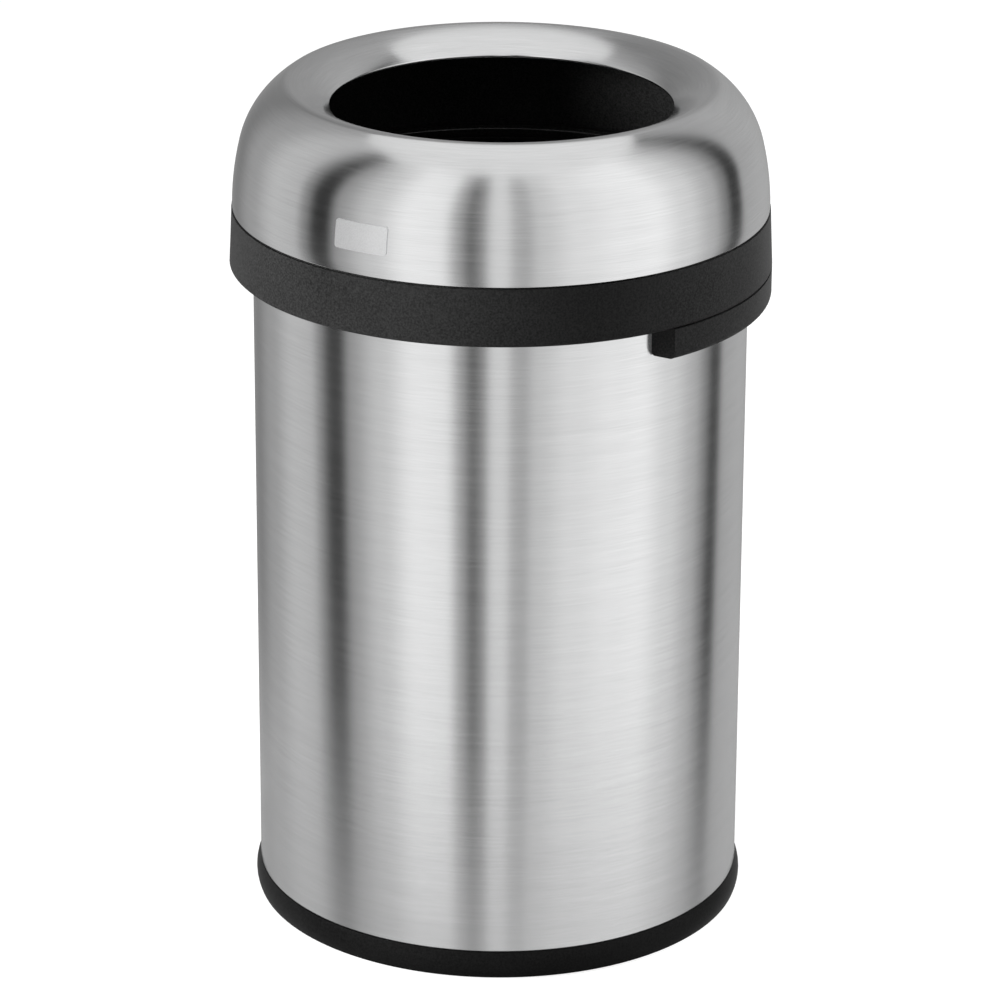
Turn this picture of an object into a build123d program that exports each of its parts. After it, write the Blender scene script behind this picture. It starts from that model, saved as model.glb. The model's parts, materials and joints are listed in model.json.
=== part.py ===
# Round open-top litter bin with a lift-up dome lid.
# Millimetres. Z is up, the floor is z = 0, the front is -Y and the hinge is at the rear, +Y.
import os
from math import cos, radians, sin

from build123d import *

os.makedirs("parts", exist_ok=True)

# Main sizes of the bin.
body_radius = 201.0
shoulder_height = 549.3
collar_overhang = 19.0
collar_height = 46.8
seam_gap = 0.9
collar_seat = 0.3
base_height = 22.9

# Steel sheet and moulded wall sizes.
body_wall = 0.9
dome_wall = 0.8
liner_wall = 2.2
collar_wall = 3.0
shroud_wall = 3.0

# Small working clearances.
touch_gap = 0.1
sheet_gap = 0.5
drop_in_gap = 0.4
rest_gap = 0.2
running_gap = 0.05

# Dome outline: four tangent arcs from the bottom edge up, over the crest and into the mouth.
dome_setback = 2.7
dome_lean = 0.5
dome_arc_radii = [225.8, 80.0, 10.0, 78.6]
dome_arc_turns = [13.3, 42.9, 51.6, 25.6]
dome_bend = 1.2
mouth_bead_radius = 1.6
liner_mouth_setback = 2.2

# Badge plate on the front of the dome.
badge_width = 46.5
badge_height = 22.5
badge_corner = 2.5
badge_thickness = 0.9
badge_rise = 30.7

# Hinge at the rear.
axis_inset = 11.0
axis_rise = 7.7
pin_radius = 3.0
pin_half_length = 46.0
cap_length = 3.5
knuckle_radius = 6.5
knuckle_width = 20.0
knuckle_centre = 25.0
knuckle_side_gap = 1.0
washer_thickness = 0.7
ear_radius = 9.0
ear_half_width = 57.0
window_half_width = 60.0
window_rise = 16.0

# Rear shroud.
shroud_height = 24.8
shroud_front = 81.0
shroud_corner = 4.0
shroud_inner_corner = 1.8
shroud_screw_count = 6
shroud_screw_span = 210.0
shroud_boss_width = 9.0
shroud_rib_start = 6.0

# Rim on top of the steel body.
rim_top_rise = 35.7
rim_cap = 4.0
rim_outer_leg = 1.5
rim_inner_leg = 2.5
rim_ledge_depth = 16.0
rim_lip_depth = 2.9
rim_ledge_drop = 10.5
rim_rivet_count = 6

# Drop-in bag ring.
ring_wall = 2.0
ring_skirt_depth = 25.0
ring_flange = 2.5
ring_flange_reach = 5.4
ring_lip_reach = 2.9
ring_top_rise = 9.7

# Base.
base_bulge = 3.7
base_foot_setback = 1.7
base_wall_setback = 1.7
base_lift = 1.0
base_depth = 17.0
base_web = 3.0
base_rib_count = 12
foot_count = 6
foot_radius = 5.0
base_screw_count = 4
pan_wall = 1.2
pan_upturn = 8.0

# Fasteners.
screw_radius = 2.0
screw_head_radius = 3.6
screw_head_height = 2.2
small_screw_radius = 1.6
rivet_head_radius = 3.4
lid_screw_count = 6
bumper_count = 4
bumper_radius = 2.1
bumper_peg_radius = 1.0
bumper_height = 1.1

# Heights and radii worked out from the sizes above.
collar_radius = body_radius + collar_overhang
collar_low = shoulder_height + seam_gap
seam_height = collar_low + collar_height + collar_seat
shroud_low = shoulder_height - shroud_height
rim_top = shoulder_height + rim_top_rise
shell_top = rim_top - rim_cap
dome_radius = collar_radius - dome_setback
axis_y = collar_radius - axis_inset
axis_z = shoulder_height + axis_rise
inner_face = body_radius - body_wall
rim_inner = inner_face - touch_gap * 2 - rim_inner_leg
ledge_radius = body_radius - rim_ledge_depth
ledge_top = rim_top - rim_ledge_drop
rivet_height = rim_top - 25.0
shroud_screw_height = shoulder_height - 12.3
flange_radius = body_radius - 16.0
base_screw_ring = body_radius - 8.5
foot_ring = body_radius - 7.0
lid_screw_ring = collar_radius - 11.0
lid_ring_top = seam_height - 5.0
lid_ring_inner = body_radius - 3.0
lid_ring_outer = collar_radius - 6.5
bumper_ring = body_radius - 0.6


# Steel body: a straight tube with its bottom edge turned in.
with BuildPart() as body_shell:
    with BuildSketch(Plane.XZ):
        with Locations((inner_face, base_height)):
            Rectangle(body_wall, shell_top - base_height, align=(Align.MIN, Align.MIN))
        with Locations((flange_radius, base_height)):
            Rectangle(body_radius - flange_radius, body_wall, align=(Align.MIN, Align.MIN))
    revolve(axis=Axis.Z)
    with BuildSketch(Plane.XY.offset(base_height - 1.0)):
        with PolarLocations(base_screw_ring, base_screw_count, start_angle=45.0):
            Circle(screw_radius)
    extrude(amount=body_wall + 2.0, mode=Mode.SUBTRACT)
    with PolarLocations(body_radius, rim_rivet_count, start_angle=0.0):
        with Locations((0, 0, rivet_height)):
            Cylinder(screw_radius, 8.0, rotation=(0, 90, 0), mode=Mode.SUBTRACT)
    with PolarLocations(body_radius, shroud_screw_count, -15.0, shroud_screw_span, endpoint=True):
        with Locations((0, 0, shroud_screw_height)):
            Cylinder(small_screw_radius, 8.0, rotation=(0, 90, 0), mode=Mode.SUBTRACT)

# Moulded rim: a cap over the raw edge of the steel with a ledge for the bag ring.
with BuildPart() as body_rim:
    with BuildSketch(Plane.XZ):
        with BuildLine():
            Polyline(
                (rim_inner - rim_lip_depth, shell_top),
                (rim_inner - rim_lip_depth, rim_top),
                (body_radius + touch_gap + rim_outer_leg, rim_top),
                (body_radius + touch_gap + rim_outer_leg, shell_top - 10.0),
                (body_radius + touch_gap, shell_top - 10.0),
                (body_radius + touch_gap, shell_top),
                (rim_inner + rim_inner_leg, shell_top),
                (rim_inner + rim_inner_leg, shell_top - 29.0),
                (rim_inner, shell_top - 29.0),
                (rim_inner, ledge_top - 2.5),
                (ledge_radius, ledge_top - 2.5),
                (ledge_radius, ledge_top),
                (rim_inner, ledge_top),
                (rim_inner, shell_top),
                close=True,
            )
        make_face()
    revolve(axis=Axis.Z)
    with PolarLocations(body_radius, rim_rivet_count, start_angle=0.0):
        with Locations((0, 0, rivet_height)):
            Cylinder(screw_radius, 12.0, rotation=(0, 90, 0), mode=Mode.SUBTRACT)

# Rivets through the rim's inner leg and the steel.
with BuildPart() as rim_rivets:
    with PolarLocations(0.0, rim_rivet_count, start_angle=0.0):
        with Locations((rim_inner - 0.05, 0, rivet_height)):
            Cylinder(screw_radius, body_radius - rim_inner + 0.05, rotation=(0, 90, 0),
                     align=(Align.CENTER, Align.CENTER, Align.MIN))
        with Locations((rim_inner - 0.05, 0, rivet_height)):
            Cylinder(rivet_head_radius, 1.6, rotation=(0, 90, 0),
                     align=(Align.CENTER, Align.CENTER, Align.MAX))
        with Locations((body_radius, 0, rivet_height)):
            Cylinder(rivet_head_radius - 0.4, 1.2, rotation=(0, 90, 0),
                     align=(Align.CENTER, Align.CENTER, Align.MIN))

# Space inside the rear shroud, left open towards the steel, with ribs and screw blocks standing in it.
with BuildPart() as shroud_space:
    with BuildSketch(Plane.XZ):
        with Locations((body_radius - 2.0, shroud_low + shroud_wall)):
            Rectangle(collar_overhang - shroud_wall + 2.0, shroud_height - 2.0 * shroud_wall,
                      align=(Align.MIN, Align.MIN))
    revolve(axis=Axis.Z)
    with PolarLocations(body_radius + 8.0, shroud_screw_count, -15.0, shroud_screw_span, endpoint=True):
        with Locations((0, 0, shroud_screw_height)):
            Box(30.0, shroud_boss_width, shroud_height, mode=Mode.SUBTRACT)
    with PolarLocations(body_radius + 8.0, shroud_screw_count - 1, shroud_rib_start, 180.0 - 2.0 * shroud_rib_start,
                        endpoint=True):
        with Locations((0, 0, shroud_screw_height)):
            Box(30.0, 2.4, shroud_height, mode=Mode.SUBTRACT)
    with Locations((0, -shroud_front + shroud_wall, 0)):
        Box(4.0 * collar_radius, 4.0 * collar_radius, 4.0 * shoulder_height,
            align=(Align.CENTER, Align.MIN, Align.CENTER), mode=Mode.INTERSECT)

# Ears that hold the hinge pin, trimmed to the round of the bin.
with BuildPart() as hinge_ears:
    with BuildSketch(Plane.YZ):
        with Locations((axis_y, axis_z)):
            Circle(ear_radius)
        with Locations((axis_y, shoulder_height - 1.0)):
            Rectangle(2.0 * ear_radius, axis_rise + 1.0, align=(Align.CENTER, Align.MIN))
    extrude(amount=ear_half_width, both=True)
    with Locations((knuckle_centre, axis_y, axis_z), (-knuckle_centre, axis_y, axis_z)):
        Box(knuckle_width + 2.0 * knuckle_side_gap, 60.0, 60.0, mode=Mode.SUBTRACT)
    Cylinder(collar_radius - 0.3, 4.0 * shoulder_height, mode=Mode.INTERSECT)
    Cylinder(body_radius + touch_gap, 4.0 * shoulder_height, mode=Mode.SUBTRACT)

# Rear shroud: a moulded cover around the back half, flush with the collar, carrying the hinge ears.
with BuildPart() as rear_shroud:
    with BuildSketch(Plane.XZ) as shroud_section:
        with Locations((body_radius + touch_gap, shroud_low)):
            Rectangle(collar_overhang - touch_gap, shroud_height, align=(Align.MIN, Align.MIN))
        fillet(shroud_section.vertices().group_by(Axis.Y)[0].sort_by(Axis.X)[-1], shroud_corner)
        chamfer(shroud_section.vertices().group_by(Axis.Y)[0].sort_by(Axis.X)[0], shroud_inner_corner)
    revolve(axis=Axis.Z)
    with Locations((0, -shroud_front, 0)):
        Box(4.0 * collar_radius, 4.0 * collar_radius, 4.0 * shoulder_height,
            align=(Align.CENTER, Align.MIN, Align.CENTER), mode=Mode.INTERSECT)
    add(shroud_space.part, mode=Mode.SUBTRACT)
    add(hinge_ears.part)
    with Locations((0, axis_y, axis_z)):
        Cylinder(pin_radius, 4.0 * ear_half_width, rotation=(0, 90, 0), mode=Mode.SUBTRACT)
    with PolarLocations(body_radius, shroud_screw_count, -15.0, shroud_screw_span, endpoint=True):
        with Locations((-1.0, 0, shroud_screw_height)):
            Cylinder(small_screw_radius, 13.0, rotation=(0, 90, 0),
                     align=(Align.CENTER, Align.CENTER, Align.MIN), mode=Mode.SUBTRACT)

# Screws that hold the shroud, driven from inside the body.
with BuildPart() as shroud_screws:
    with PolarLocations(0.0, shroud_screw_count, -15.0, shroud_screw_span, endpoint=True):
        with Locations((inner_face - 0.05, 0, shroud_screw_height)):
            Cylinder(small_screw_radius, 11.5, rotation=(0, 90, 0),
                     align=(Align.CENTER, Align.CENTER, Align.MIN))
        with Locations((inner_face - 0.05, 0, shroud_screw_height)):
            Cylinder(rivet_head_radius, 1.9, rotation=(0, 90, 0),
                     align=(Align.CENTER, Align.CENTER, Align.MAX))

# Hinge pin, fixed in the ears.
with BuildPart() as hinge_pin:
    with Locations((0, axis_y, axis_z)):
        Cylinder(pin_radius, 2.0 * pin_half_length, rotation=(0, 90, 0))

# Plugs that close the pin bore at both ends.
with BuildPart() as hinge_caps:
    with Locations((pin_half_length, axis_y, axis_z)):
        Cylinder(pin_radius, cap_length, rotation=(0, 90, 0),
                 align=(Align.CENTER, Align.CENTER, Align.MIN))
    with Locations((-pin_half_length, axis_y, axis_z)):
        Cylinder(pin_radius, cap_length, rotation=(0, 90, 0),
                 align=(Align.CENTER, Align.CENTER, Align.MAX))

# Thin washers on the pin, against the ears.
with BuildPart() as hinge_washers:
    for side in (-1.0, 1.0):
        for edge in (-1.0, 1.0):
            ear_face = side * knuckle_centre + edge * (knuckle_width / 2.0 + knuckle_side_gap)
            with Locations((ear_face - edge * washer_thickness / 2.0, axis_y, axis_z)):
                Cylinder(knuckle_radius - 0.5, washer_thickness, rotation=(0, 90, 0))
    with Locations((0, axis_y, axis_z)):
        Cylinder(pin_radius, 4.0 * ear_half_width, rotation=(0, 90, 0), mode=Mode.SUBTRACT)

# Floor of the bin: a pressed steel pan on the turned-in edge of the body.
pan_low = base_height + body_wall
with BuildPart() as floor_pan:
    with BuildSketch(Plane.XZ):
        with BuildLine():
            Polyline(
                (0, pan_low + 3.0),
                (body_radius * 0.74, pan_low + 3.0),
                (body_radius * 0.74 + 5.0, pan_low),
                (body_radius - 2.2, pan_low),
                (body_radius - 2.2, pan_low + pan_wall + pan_upturn),
                (body_radius - 2.2 - pan_wall, pan_low + pan_wall + pan_upturn),
                (body_radius - 2.2 - pan_wall, pan_low + pan_wall),
                (body_radius * 0.74 + 5.6, pan_low + pan_wall),
                (body_radius * 0.74 + 0.6, pan_low + pan_wall + 3.0),
                (0, pan_low + pan_wall + 3.0),
                close=True,
            )
        make_face()
    revolve(axis=Axis.Z)
    with BuildSketch(Plane.XY.offset(pan_low - 1.0)):
        with PolarLocations(base_screw_ring, base_screw_count, start_angle=45.0):
            Circle(screw_radius)
    extrude(amount=pan_wall + 2.0, mode=Mode.SUBTRACT)

# Moulded base ring: a bulged outer wall, a web under the steel, an inner skirt and ribs between them.
base_outer = body_radius + 0.2
base_inner = body_radius - base_depth
with BuildPart() as base_ring:
    with BuildSketch(Plane.XZ):
        with BuildLine():
            ThreePointArc(
                (base_outer, base_height),
                (body_radius + base_bulge, base_height * 0.48),
                (body_radius + base_foot_setback, base_lift),
            )
            Polyline(
                (body_radius + base_foot_setback, base_lift),
                (body_radius - base_wall_setback, base_lift),
                (body_radius - base_wall_setback, base_height - base_web),
                (base_inner + 3.0, base_height - base_web),
                (base_inner + 3.0, 8.0),
                (base_inner, 8.0),
                (base_inner, base_height),
                (base_outer, base_height),
            )
        make_face()
    revolve(axis=Axis.Z)
    with PolarLocations(body_radius - 7.0, base_rib_count, start_angle=7.5):
        with Locations((0, 0, 6.0)):
            Box(13.0, 2.0, base_height - 7.5, align=(Align.CENTER, Align.CENTER, Align.MIN))
    with PolarLocations(foot_ring, foot_count):
        with Locations((0, 0, 2.5)):
            Cylinder(foot_radius + 1.5, base_height - 3.0,
                     align=(Align.CENTER, Align.CENTER, Align.MIN))
    with PolarLocations(foot_ring, foot_count):
        Cylinder(foot_radius, 4.5, align=(Align.CENTER, Align.CENTER, Align.MIN), mode=Mode.SUBTRACT)
    with BuildSketch(Plane.XY.offset(base_height - base_web - 1.0)):
        with PolarLocations(base_screw_ring, base_screw_count, start_angle=45.0):
            Circle(screw_radius)
    extrude(amount=base_web + 2.0, mode=Mode.SUBTRACT)

# Screws up through the base web, the steel and the pan.
with BuildPart() as base_screws:
    with BuildSketch(Plane.XY.offset(base_height - base_web - screw_head_height)):
        with PolarLocations(base_screw_ring, base_screw_count, start_angle=45.0):
            Circle(screw_head_radius)
    extrude(amount=screw_head_height)
    with BuildSketch(Plane.XY.offset(base_height - base_web)):
        with PolarLocations(base_screw_ring, base_screw_count, start_angle=45.0):
            Circle(screw_radius)
    extrude(amount=base_web + body_wall + pan_wall + 4.0)

# Hexagon nuts on the pan.
with BuildPart() as base_nuts:
    with BuildSketch(Plane.XY.offset(pan_low + pan_wall)):
        with PolarLocations(base_screw_ring, base_screw_count, start_angle=45.0):
            RegularPolygon(4.0, 6)
            Circle(screw_radius, mode=Mode.SUBTRACT)
    extrude(amount=3.0)

# Rubber feet pressed into the base ring.
with BuildPart() as base_feet:
    with BuildSketch(Plane.XY):
        with PolarLocations(foot_ring, foot_count):
            Circle(foot_radius)
    extrude(amount=4.5)

# Drop-in ring that holds the bag over the rim's ledge.
ring_outer = ledge_radius - drop_in_gap
with BuildPart() as bag_ring:
    with BuildSketch(Plane.XZ):
        with BuildLine():
            Polyline(
                (ring_outer - ring_wall, ledge_top - ring_skirt_depth),
                (ring_outer, ledge_top - ring_skirt_depth),
                (ring_outer, ledge_top + rest_gap),
                (ring_outer + ring_flange_reach, ledge_top + rest_gap),
                (ring_outer + ring_flange_reach, ledge_top + rest_gap + ring_flange),
                (ring_outer, ledge_top + rest_gap + ring_flange),
                (ring_outer, ledge_top + ring_top_rise - ring_wall),
                (ring_outer + ring_lip_reach, ledge_top + ring_top_rise - ring_wall),
                (ring_outer + ring_lip_reach, ledge_top + ring_top_rise),
                (ring_outer - ring_wall, ledge_top + ring_top_rise),
                close=True,
            )
        make_face()
    revolve(axis=Axis.Z)

# Dome: steel sheet from the turned-in bottom flange over the crest to the beaded mouth edge.
dome_heading = (-sin(radians(dome_lean)), cos(radians(dome_lean)))
mouth_heading = 90.0 + dome_lean + sum(dome_arc_turns)
with BuildPart() as dome_shell:
    with BuildSketch(Plane.XZ):
        with BuildLine():
            Line((lid_screw_ring - 4.0, seam_height), (dome_radius - dome_bend, seam_height))
            RadiusArc(
                (dome_radius - dome_bend, seam_height),
                (dome_radius, seam_height + dome_bend),
                -dome_bend,
            )
            outer_point = (dome_radius, seam_height + dome_bend)
            outer_heading = dome_heading
            for arc_radius, arc_turn in zip(dome_arc_radii, dome_arc_turns):
                outer_arc = JernArc(outer_point, outer_heading, arc_radius, arc_turn)
                outer_point = outer_arc @ 1
                outer_heading = outer_arc % 1
            inner_point = (dome_radius - dome_wall, seam_height + dome_bend)
            inner_heading = dome_heading
            for arc_radius, arc_turn in zip(dome_arc_radii, dome_arc_turns):
                inner_arc = JernArc(inner_point, inner_heading, arc_radius - dome_wall, arc_turn)
                inner_point = inner_arc @ 1
                inner_heading = inner_arc % 1
            Line(outer_point, inner_point)
            Line((dome_radius - dome_wall, seam_height + dome_bend),
                 (dome_radius - dome_wall, seam_height + dome_wall))
            Line((dome_radius - dome_wall, seam_height + dome_wall),
                 (lid_screw_ring - 4.0, seam_height + dome_wall))
            Line((lid_screw_ring - 4.0, seam_height + dome_wall), (lid_screw_ring - 4.0, seam_height))
        make_face()
        bead_x = outer_point.X - mouth_bead_radius * sin(radians(mouth_heading))
        bead_z = outer_point.Y + mouth_bead_radius * cos(radians(mouth_heading))
        with Locations((bead_x, bead_z)):
            Circle(mouth_bead_radius)
    revolve(axis=Axis.Z)
    with BuildSketch(Plane.XY.offset(seam_height - 1.0)):
        with PolarLocations(lid_screw_ring, lid_screw_count, start_angle=0.0):
            Circle(screw_radius)
    extrude(amount=dome_wall + 2.0, mode=Mode.SUBTRACT)

# Dome liner: a moulded inner shell on the steel flange, with screw bosses on its foot.
liner_turns = dome_arc_turns[:3] + [dome_arc_turns[3] - liner_mouth_setback]
liner_inset = dome_wall + sheet_gap
with BuildPart() as dome_liner:
    with BuildSketch(Plane.XZ):
        with BuildLine():
            Line((dome_radius - liner_inset, seam_height + dome_wall),
                 (dome_radius - liner_inset, seam_height + dome_bend))
            outer_point = (dome_radius - liner_inset, seam_height + dome_bend)
            outer_heading = dome_heading
            for arc_radius, arc_turn in zip(dome_arc_radii, liner_turns):
                outer_arc = JernArc(outer_point, outer_heading, arc_radius - liner_inset, arc_turn)
                outer_point = outer_arc @ 1
                outer_heading = outer_arc % 1
            inner_point = (dome_radius - liner_inset - liner_wall, seam_height + dome_bend)
            inner_heading = dome_heading
            for arc_radius, arc_turn in zip(dome_arc_radii, liner_turns):
                inner_arc = JernArc(inner_point, inner_heading,
                                    arc_radius - liner_inset - liner_wall, arc_turn)
                inner_point = inner_arc @ 1
                inner_heading = inner_arc % 1
            Line(outer_point, inner_point)
            Line((dome_radius - liner_inset - liner_wall, seam_height + dome_bend),
                 (dome_radius - liner_inset - liner_wall, seam_height + dome_wall))
            Line((dome_radius - liner_inset - liner_wall, seam_height + dome_wall),
                 (dome_radius - liner_inset, seam_height + dome_wall))
        make_face()
        with Locations((lid_screw_ring - 5.0, seam_height + dome_wall)):
            Rectangle(dome_radius - liner_inset - lid_screw_ring + 4.0, 2.5,
                      align=(Align.MIN, Align.MIN))
    revolve(axis=Axis.Z)
    with BuildSketch(Plane.XY.offset(seam_height + dome_wall)):
        with PolarLocations(lid_screw_ring, lid_screw_count, start_angle=0.0):
            Circle(4.5)
    extrude(amount=7.0)
    with BuildSketch(Plane.XY.offset(seam_height - 1.0)):
        with PolarLocations(lid_screw_ring, lid_screw_count, start_angle=0.0):
            Circle(screw_radius)
    extrude(amount=7.0, mode=Mode.SUBTRACT)

# Arms that reach down from the collar to the hinge pin.
with BuildPart() as hinge_arms:
    with BuildSketch(Plane.YZ):
        with Locations((axis_y, axis_z)):
            Circle(knuckle_radius)
        with Locations((axis_y - 5.5, axis_z)):
            Rectangle(11.5, window_rise + 12.0, align=(Align.MIN, Align.MIN))
        with Locations((axis_y - 5.5, axis_z + window_rise + 0.5)):
            Rectangle(16.0, 11.5, align=(Align.MIN, Align.MIN))
    extrude(amount=knuckle_centre + knuckle_width / 2.0, both=True)
    Box(2.0 * knuckle_centre - knuckle_width, 4.0 * collar_radius, 4.0 * shoulder_height, mode=Mode.SUBTRACT)
    Cylinder(collar_radius - 2.5, 4.0 * shoulder_height, mode=Mode.INTERSECT)

# Collar: the moulded outer ring under the dome, with a shelf inside and a window for the hinge.
with BuildPart() as lid_collar:
    with BuildSketch(Plane.XZ):
        with BuildLine():
            Polyline(
                (collar_radius - collar_wall, collar_low),
                (collar_radius - 1.2, collar_low),
                (collar_radius, collar_low + 1.2),
                (collar_radius - 2.1, seam_height - 1.0),
                (collar_radius - 4.2, seam_height - 1.0),
                (collar_radius - 4.2, seam_height),
                (lid_screw_ring - 5.0, seam_height),
                (lid_screw_ring - 5.0, seam_height - 5.0),
                (collar_radius - 1.9 - collar_wall, seam_height - 5.0),
                close=True,
            )
        make_face()
    revolve(axis=Axis.Z)
    with Locations((0, 0, axis_z + window_rise)):
        Box(2.0 * window_half_width, 2.0 * collar_radius, 60.0,
            align=(Align.CENTER, Align.MIN, Align.MAX), mode=Mode.SUBTRACT)
    add(hinge_arms.part)
    with Locations((0, axis_y, axis_z)):
        Cylinder(pin_radius + running_gap, 4.0 * ear_half_width, rotation=(0, 90, 0), mode=Mode.SUBTRACT)
    with BuildSketch(Plane.XY.offset(seam_height - 6.0)):
        with PolarLocations(lid_screw_ring, lid_screw_count, start_angle=0.0):
            Circle(screw_radius)
    extrude(amount=8.0, mode=Mode.SUBTRACT)

# Retaining ring under the collar's shelf; its skirt carries the bumpers.
skirt_low = rim_top + rest_gap + bumper_height
with BuildPart() as lid_inner_ring:
    with BuildSketch(Plane.XZ):
        with Locations((lid_ring_inner, lid_ring_top - 2.5)):
            Rectangle(lid_ring_outer - lid_ring_inner, 2.5, align=(Align.MIN, Align.MIN))
        with Locations((lid_ring_inner, skirt_low)):
            Rectangle(4.8, lid_ring_top - skirt_low, align=(Align.MIN, Align.MIN))
    revolve(axis=Axis.Z)
    with BuildSketch(Plane.XY.offset(lid_ring_top - 4.0)):
        with PolarLocations(lid_screw_ring, lid_screw_count, start_angle=0.0):
            Circle(screw_radius)
    extrude(amount=6.0, mode=Mode.SUBTRACT)
    with BuildSketch(Plane.XY.offset(skirt_low - 1.0)):
        with PolarLocations(bumper_ring, bumper_count, start_angle=45.0):
            Circle(bumper_peg_radius)
    extrude(amount=3.0, mode=Mode.SUBTRACT)

# Screws up through the retaining ring, collar and dome flange into the liner's bosses.
with BuildPart() as lid_screws:
    with BuildSketch(Plane.XY.offset(lid_ring_top - 2.5 - screw_head_height)):
        with PolarLocations(lid_screw_ring, lid_screw_count, start_angle=0.0):
            Circle(screw_head_radius)
    extrude(amount=screw_head_height)
    with BuildSketch(Plane.XY.offset(lid_ring_top - 2.5)):
        with PolarLocations(lid_screw_ring, lid_screw_count, start_angle=0.0):
            Circle(screw_radius)
    extrude(amount=13.0)

# Rubber bumpers that land on the rim.
with BuildPart() as lid_bumpers:
    with BuildSketch(Plane.XY.offset(rim_top + rest_gap)):
        with PolarLocations(bumper_ring, bumper_count, start_angle=45.0):
            Circle(bumper_radius)
    extrude(amount=bumper_height)
    with BuildSketch(Plane.XY.offset(skirt_low)):
        with PolarLocations(bumper_ring, bumper_count, start_angle=45.0):
            Circle(bumper_peg_radius)
    extrude(amount=1.8)

# Bare badge plate that follows the front of the dome.
with BuildPart() as badge_plate:
    with BuildSketch(Plane.XZ):
        with BuildLine():
            near_low = JernArc((dome_radius, seam_height + dome_bend), dome_heading,
                               dome_arc_radii[0], dome_arc_turns[0])
            near_high = JernArc(near_low @ 1, near_low % 1, dome_arc_radii[1], 15.0)
            far_low = JernArc((dome_radius + badge_thickness, seam_height + dome_bend), dome_heading,
                              dome_arc_radii[0] + badge_thickness, dome_arc_turns[0])
            far_high = JernArc(far_low @ 1, far_low % 1, dome_arc_radii[1] + badge_thickness, 15.0)
            Line(near_high @ 1, far_high @ 1)
            Line((dome_radius, seam_height + dome_bend),
                 (dome_radius + badge_thickness, seam_height + dome_bend))
        make_face()
    revolve(axis=Axis.Z)
    with BuildSketch(Plane.XZ.offset(body_radius * 0.8)):
        with Locations((0, seam_height + badge_rise)):
            RectangleRounded(badge_width, badge_height, badge_corner)
    extrude(amount=body_radius * 0.5, mode=Mode.INTERSECT)

body_shell.part.label = "body_shell"
body_rim.part.label = "body_rim"
rim_rivets.part.label = "rim_rivets"
rear_shroud.part.label = "rear_shroud"
shroud_screws.part.label = "shroud_screws"
hinge_pin.part.label = "hinge_pin"
hinge_caps.part.label = "hinge_caps"
hinge_washers.part.label = "hinge_washers"
floor_pan.part.label = "floor_pan"
base_ring.part.label = "base_ring"
base_screws.part.label = "base_screws"
base_nuts.part.label = "base_nuts"
base_feet.part.label = "base_feet"
bag_ring.part.label = "bag_ring"
dome_shell.part.label = "dome_shell"
dome_liner.part.label = "dome_liner"
lid_collar.part.label = "lid_collar"
lid_inner_ring.part.label = "lid_inner_ring"
lid_screws.part.label = "lid_screws"
lid_bumpers.part.label = "lid_bumpers"
badge_plate.part.label = "badge_plate"

export_step(body_shell.part, "parts/body_shell.step")
export_step(body_rim.part, "parts/body_rim.step")
export_step(rim_rivets.part, "parts/rim_rivets.step")
export_step(rear_shroud.part, "parts/rear_shroud.step")
export_step(shroud_screws.part, "parts/shroud_screws.step")
export_step(hinge_pin.part, "parts/hinge_pin.step")
export_step(hinge_caps.part, "parts/hinge_caps.step")
export_step(hinge_washers.part, "parts/hinge_washers.step")
export_step(floor_pan.part, "parts/floor_pan.step")
export_step(base_ring.part, "parts/base_ring.step")
export_step(base_screws.part, "parts/base_screws.step")
export_step(base_nuts.part, "parts/base_nuts.step")
export_step(base_feet.part, "parts/base_feet.step")
export_step(bag_ring.part, "parts/bag_ring.step")
export_step(dome_shell.part, "parts/dome_shell.step")
export_step(dome_liner.part, "parts/dome_liner.step")
export_step(lid_collar.part, "parts/lid_collar.step")
export_step(lid_inner_ring.part, "parts/lid_inner_ring.step")
export_step(lid_screws.part, "parts/lid_screws.step")
export_step(lid_bumpers.part, "parts/lid_bumpers.step")
export_step(badge_plate.part, "parts/badge_plate.step")
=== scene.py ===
"""Round open-top steel bin with a lift-up dome lid, dressed for a studio picture.

Lengths in the classes are in millimetres, as on a maker's drawing, and become metres when a mesh
is made. Z is up, the floor is z = 0, the front is -Y and the lid's hinge is at the rear, +Y.
"""
from __future__ import annotations

import json
import logging
import math
from dataclasses import dataclass
from enum import Enum
from typing import Any, Iterable, Sequence

import bpy
import numpy as np
from mathutils import Matrix, Vector

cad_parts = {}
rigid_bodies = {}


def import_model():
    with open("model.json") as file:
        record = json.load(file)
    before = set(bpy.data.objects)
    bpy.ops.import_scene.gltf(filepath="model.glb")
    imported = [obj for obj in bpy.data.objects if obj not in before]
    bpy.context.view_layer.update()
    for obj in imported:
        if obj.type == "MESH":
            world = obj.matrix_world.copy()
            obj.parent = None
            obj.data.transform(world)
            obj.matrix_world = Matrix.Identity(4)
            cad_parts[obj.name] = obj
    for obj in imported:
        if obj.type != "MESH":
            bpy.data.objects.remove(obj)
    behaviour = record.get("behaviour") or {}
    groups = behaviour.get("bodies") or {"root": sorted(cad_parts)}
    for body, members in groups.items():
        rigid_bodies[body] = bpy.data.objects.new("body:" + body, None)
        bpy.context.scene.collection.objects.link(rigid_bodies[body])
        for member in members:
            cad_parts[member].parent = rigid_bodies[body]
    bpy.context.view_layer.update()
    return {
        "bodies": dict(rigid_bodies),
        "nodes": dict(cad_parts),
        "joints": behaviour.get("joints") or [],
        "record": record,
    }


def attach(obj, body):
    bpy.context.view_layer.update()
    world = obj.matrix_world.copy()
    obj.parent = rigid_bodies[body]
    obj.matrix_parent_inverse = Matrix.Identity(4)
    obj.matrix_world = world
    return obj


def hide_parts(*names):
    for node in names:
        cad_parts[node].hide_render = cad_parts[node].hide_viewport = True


log = logging.getLogger("bin")

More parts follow.
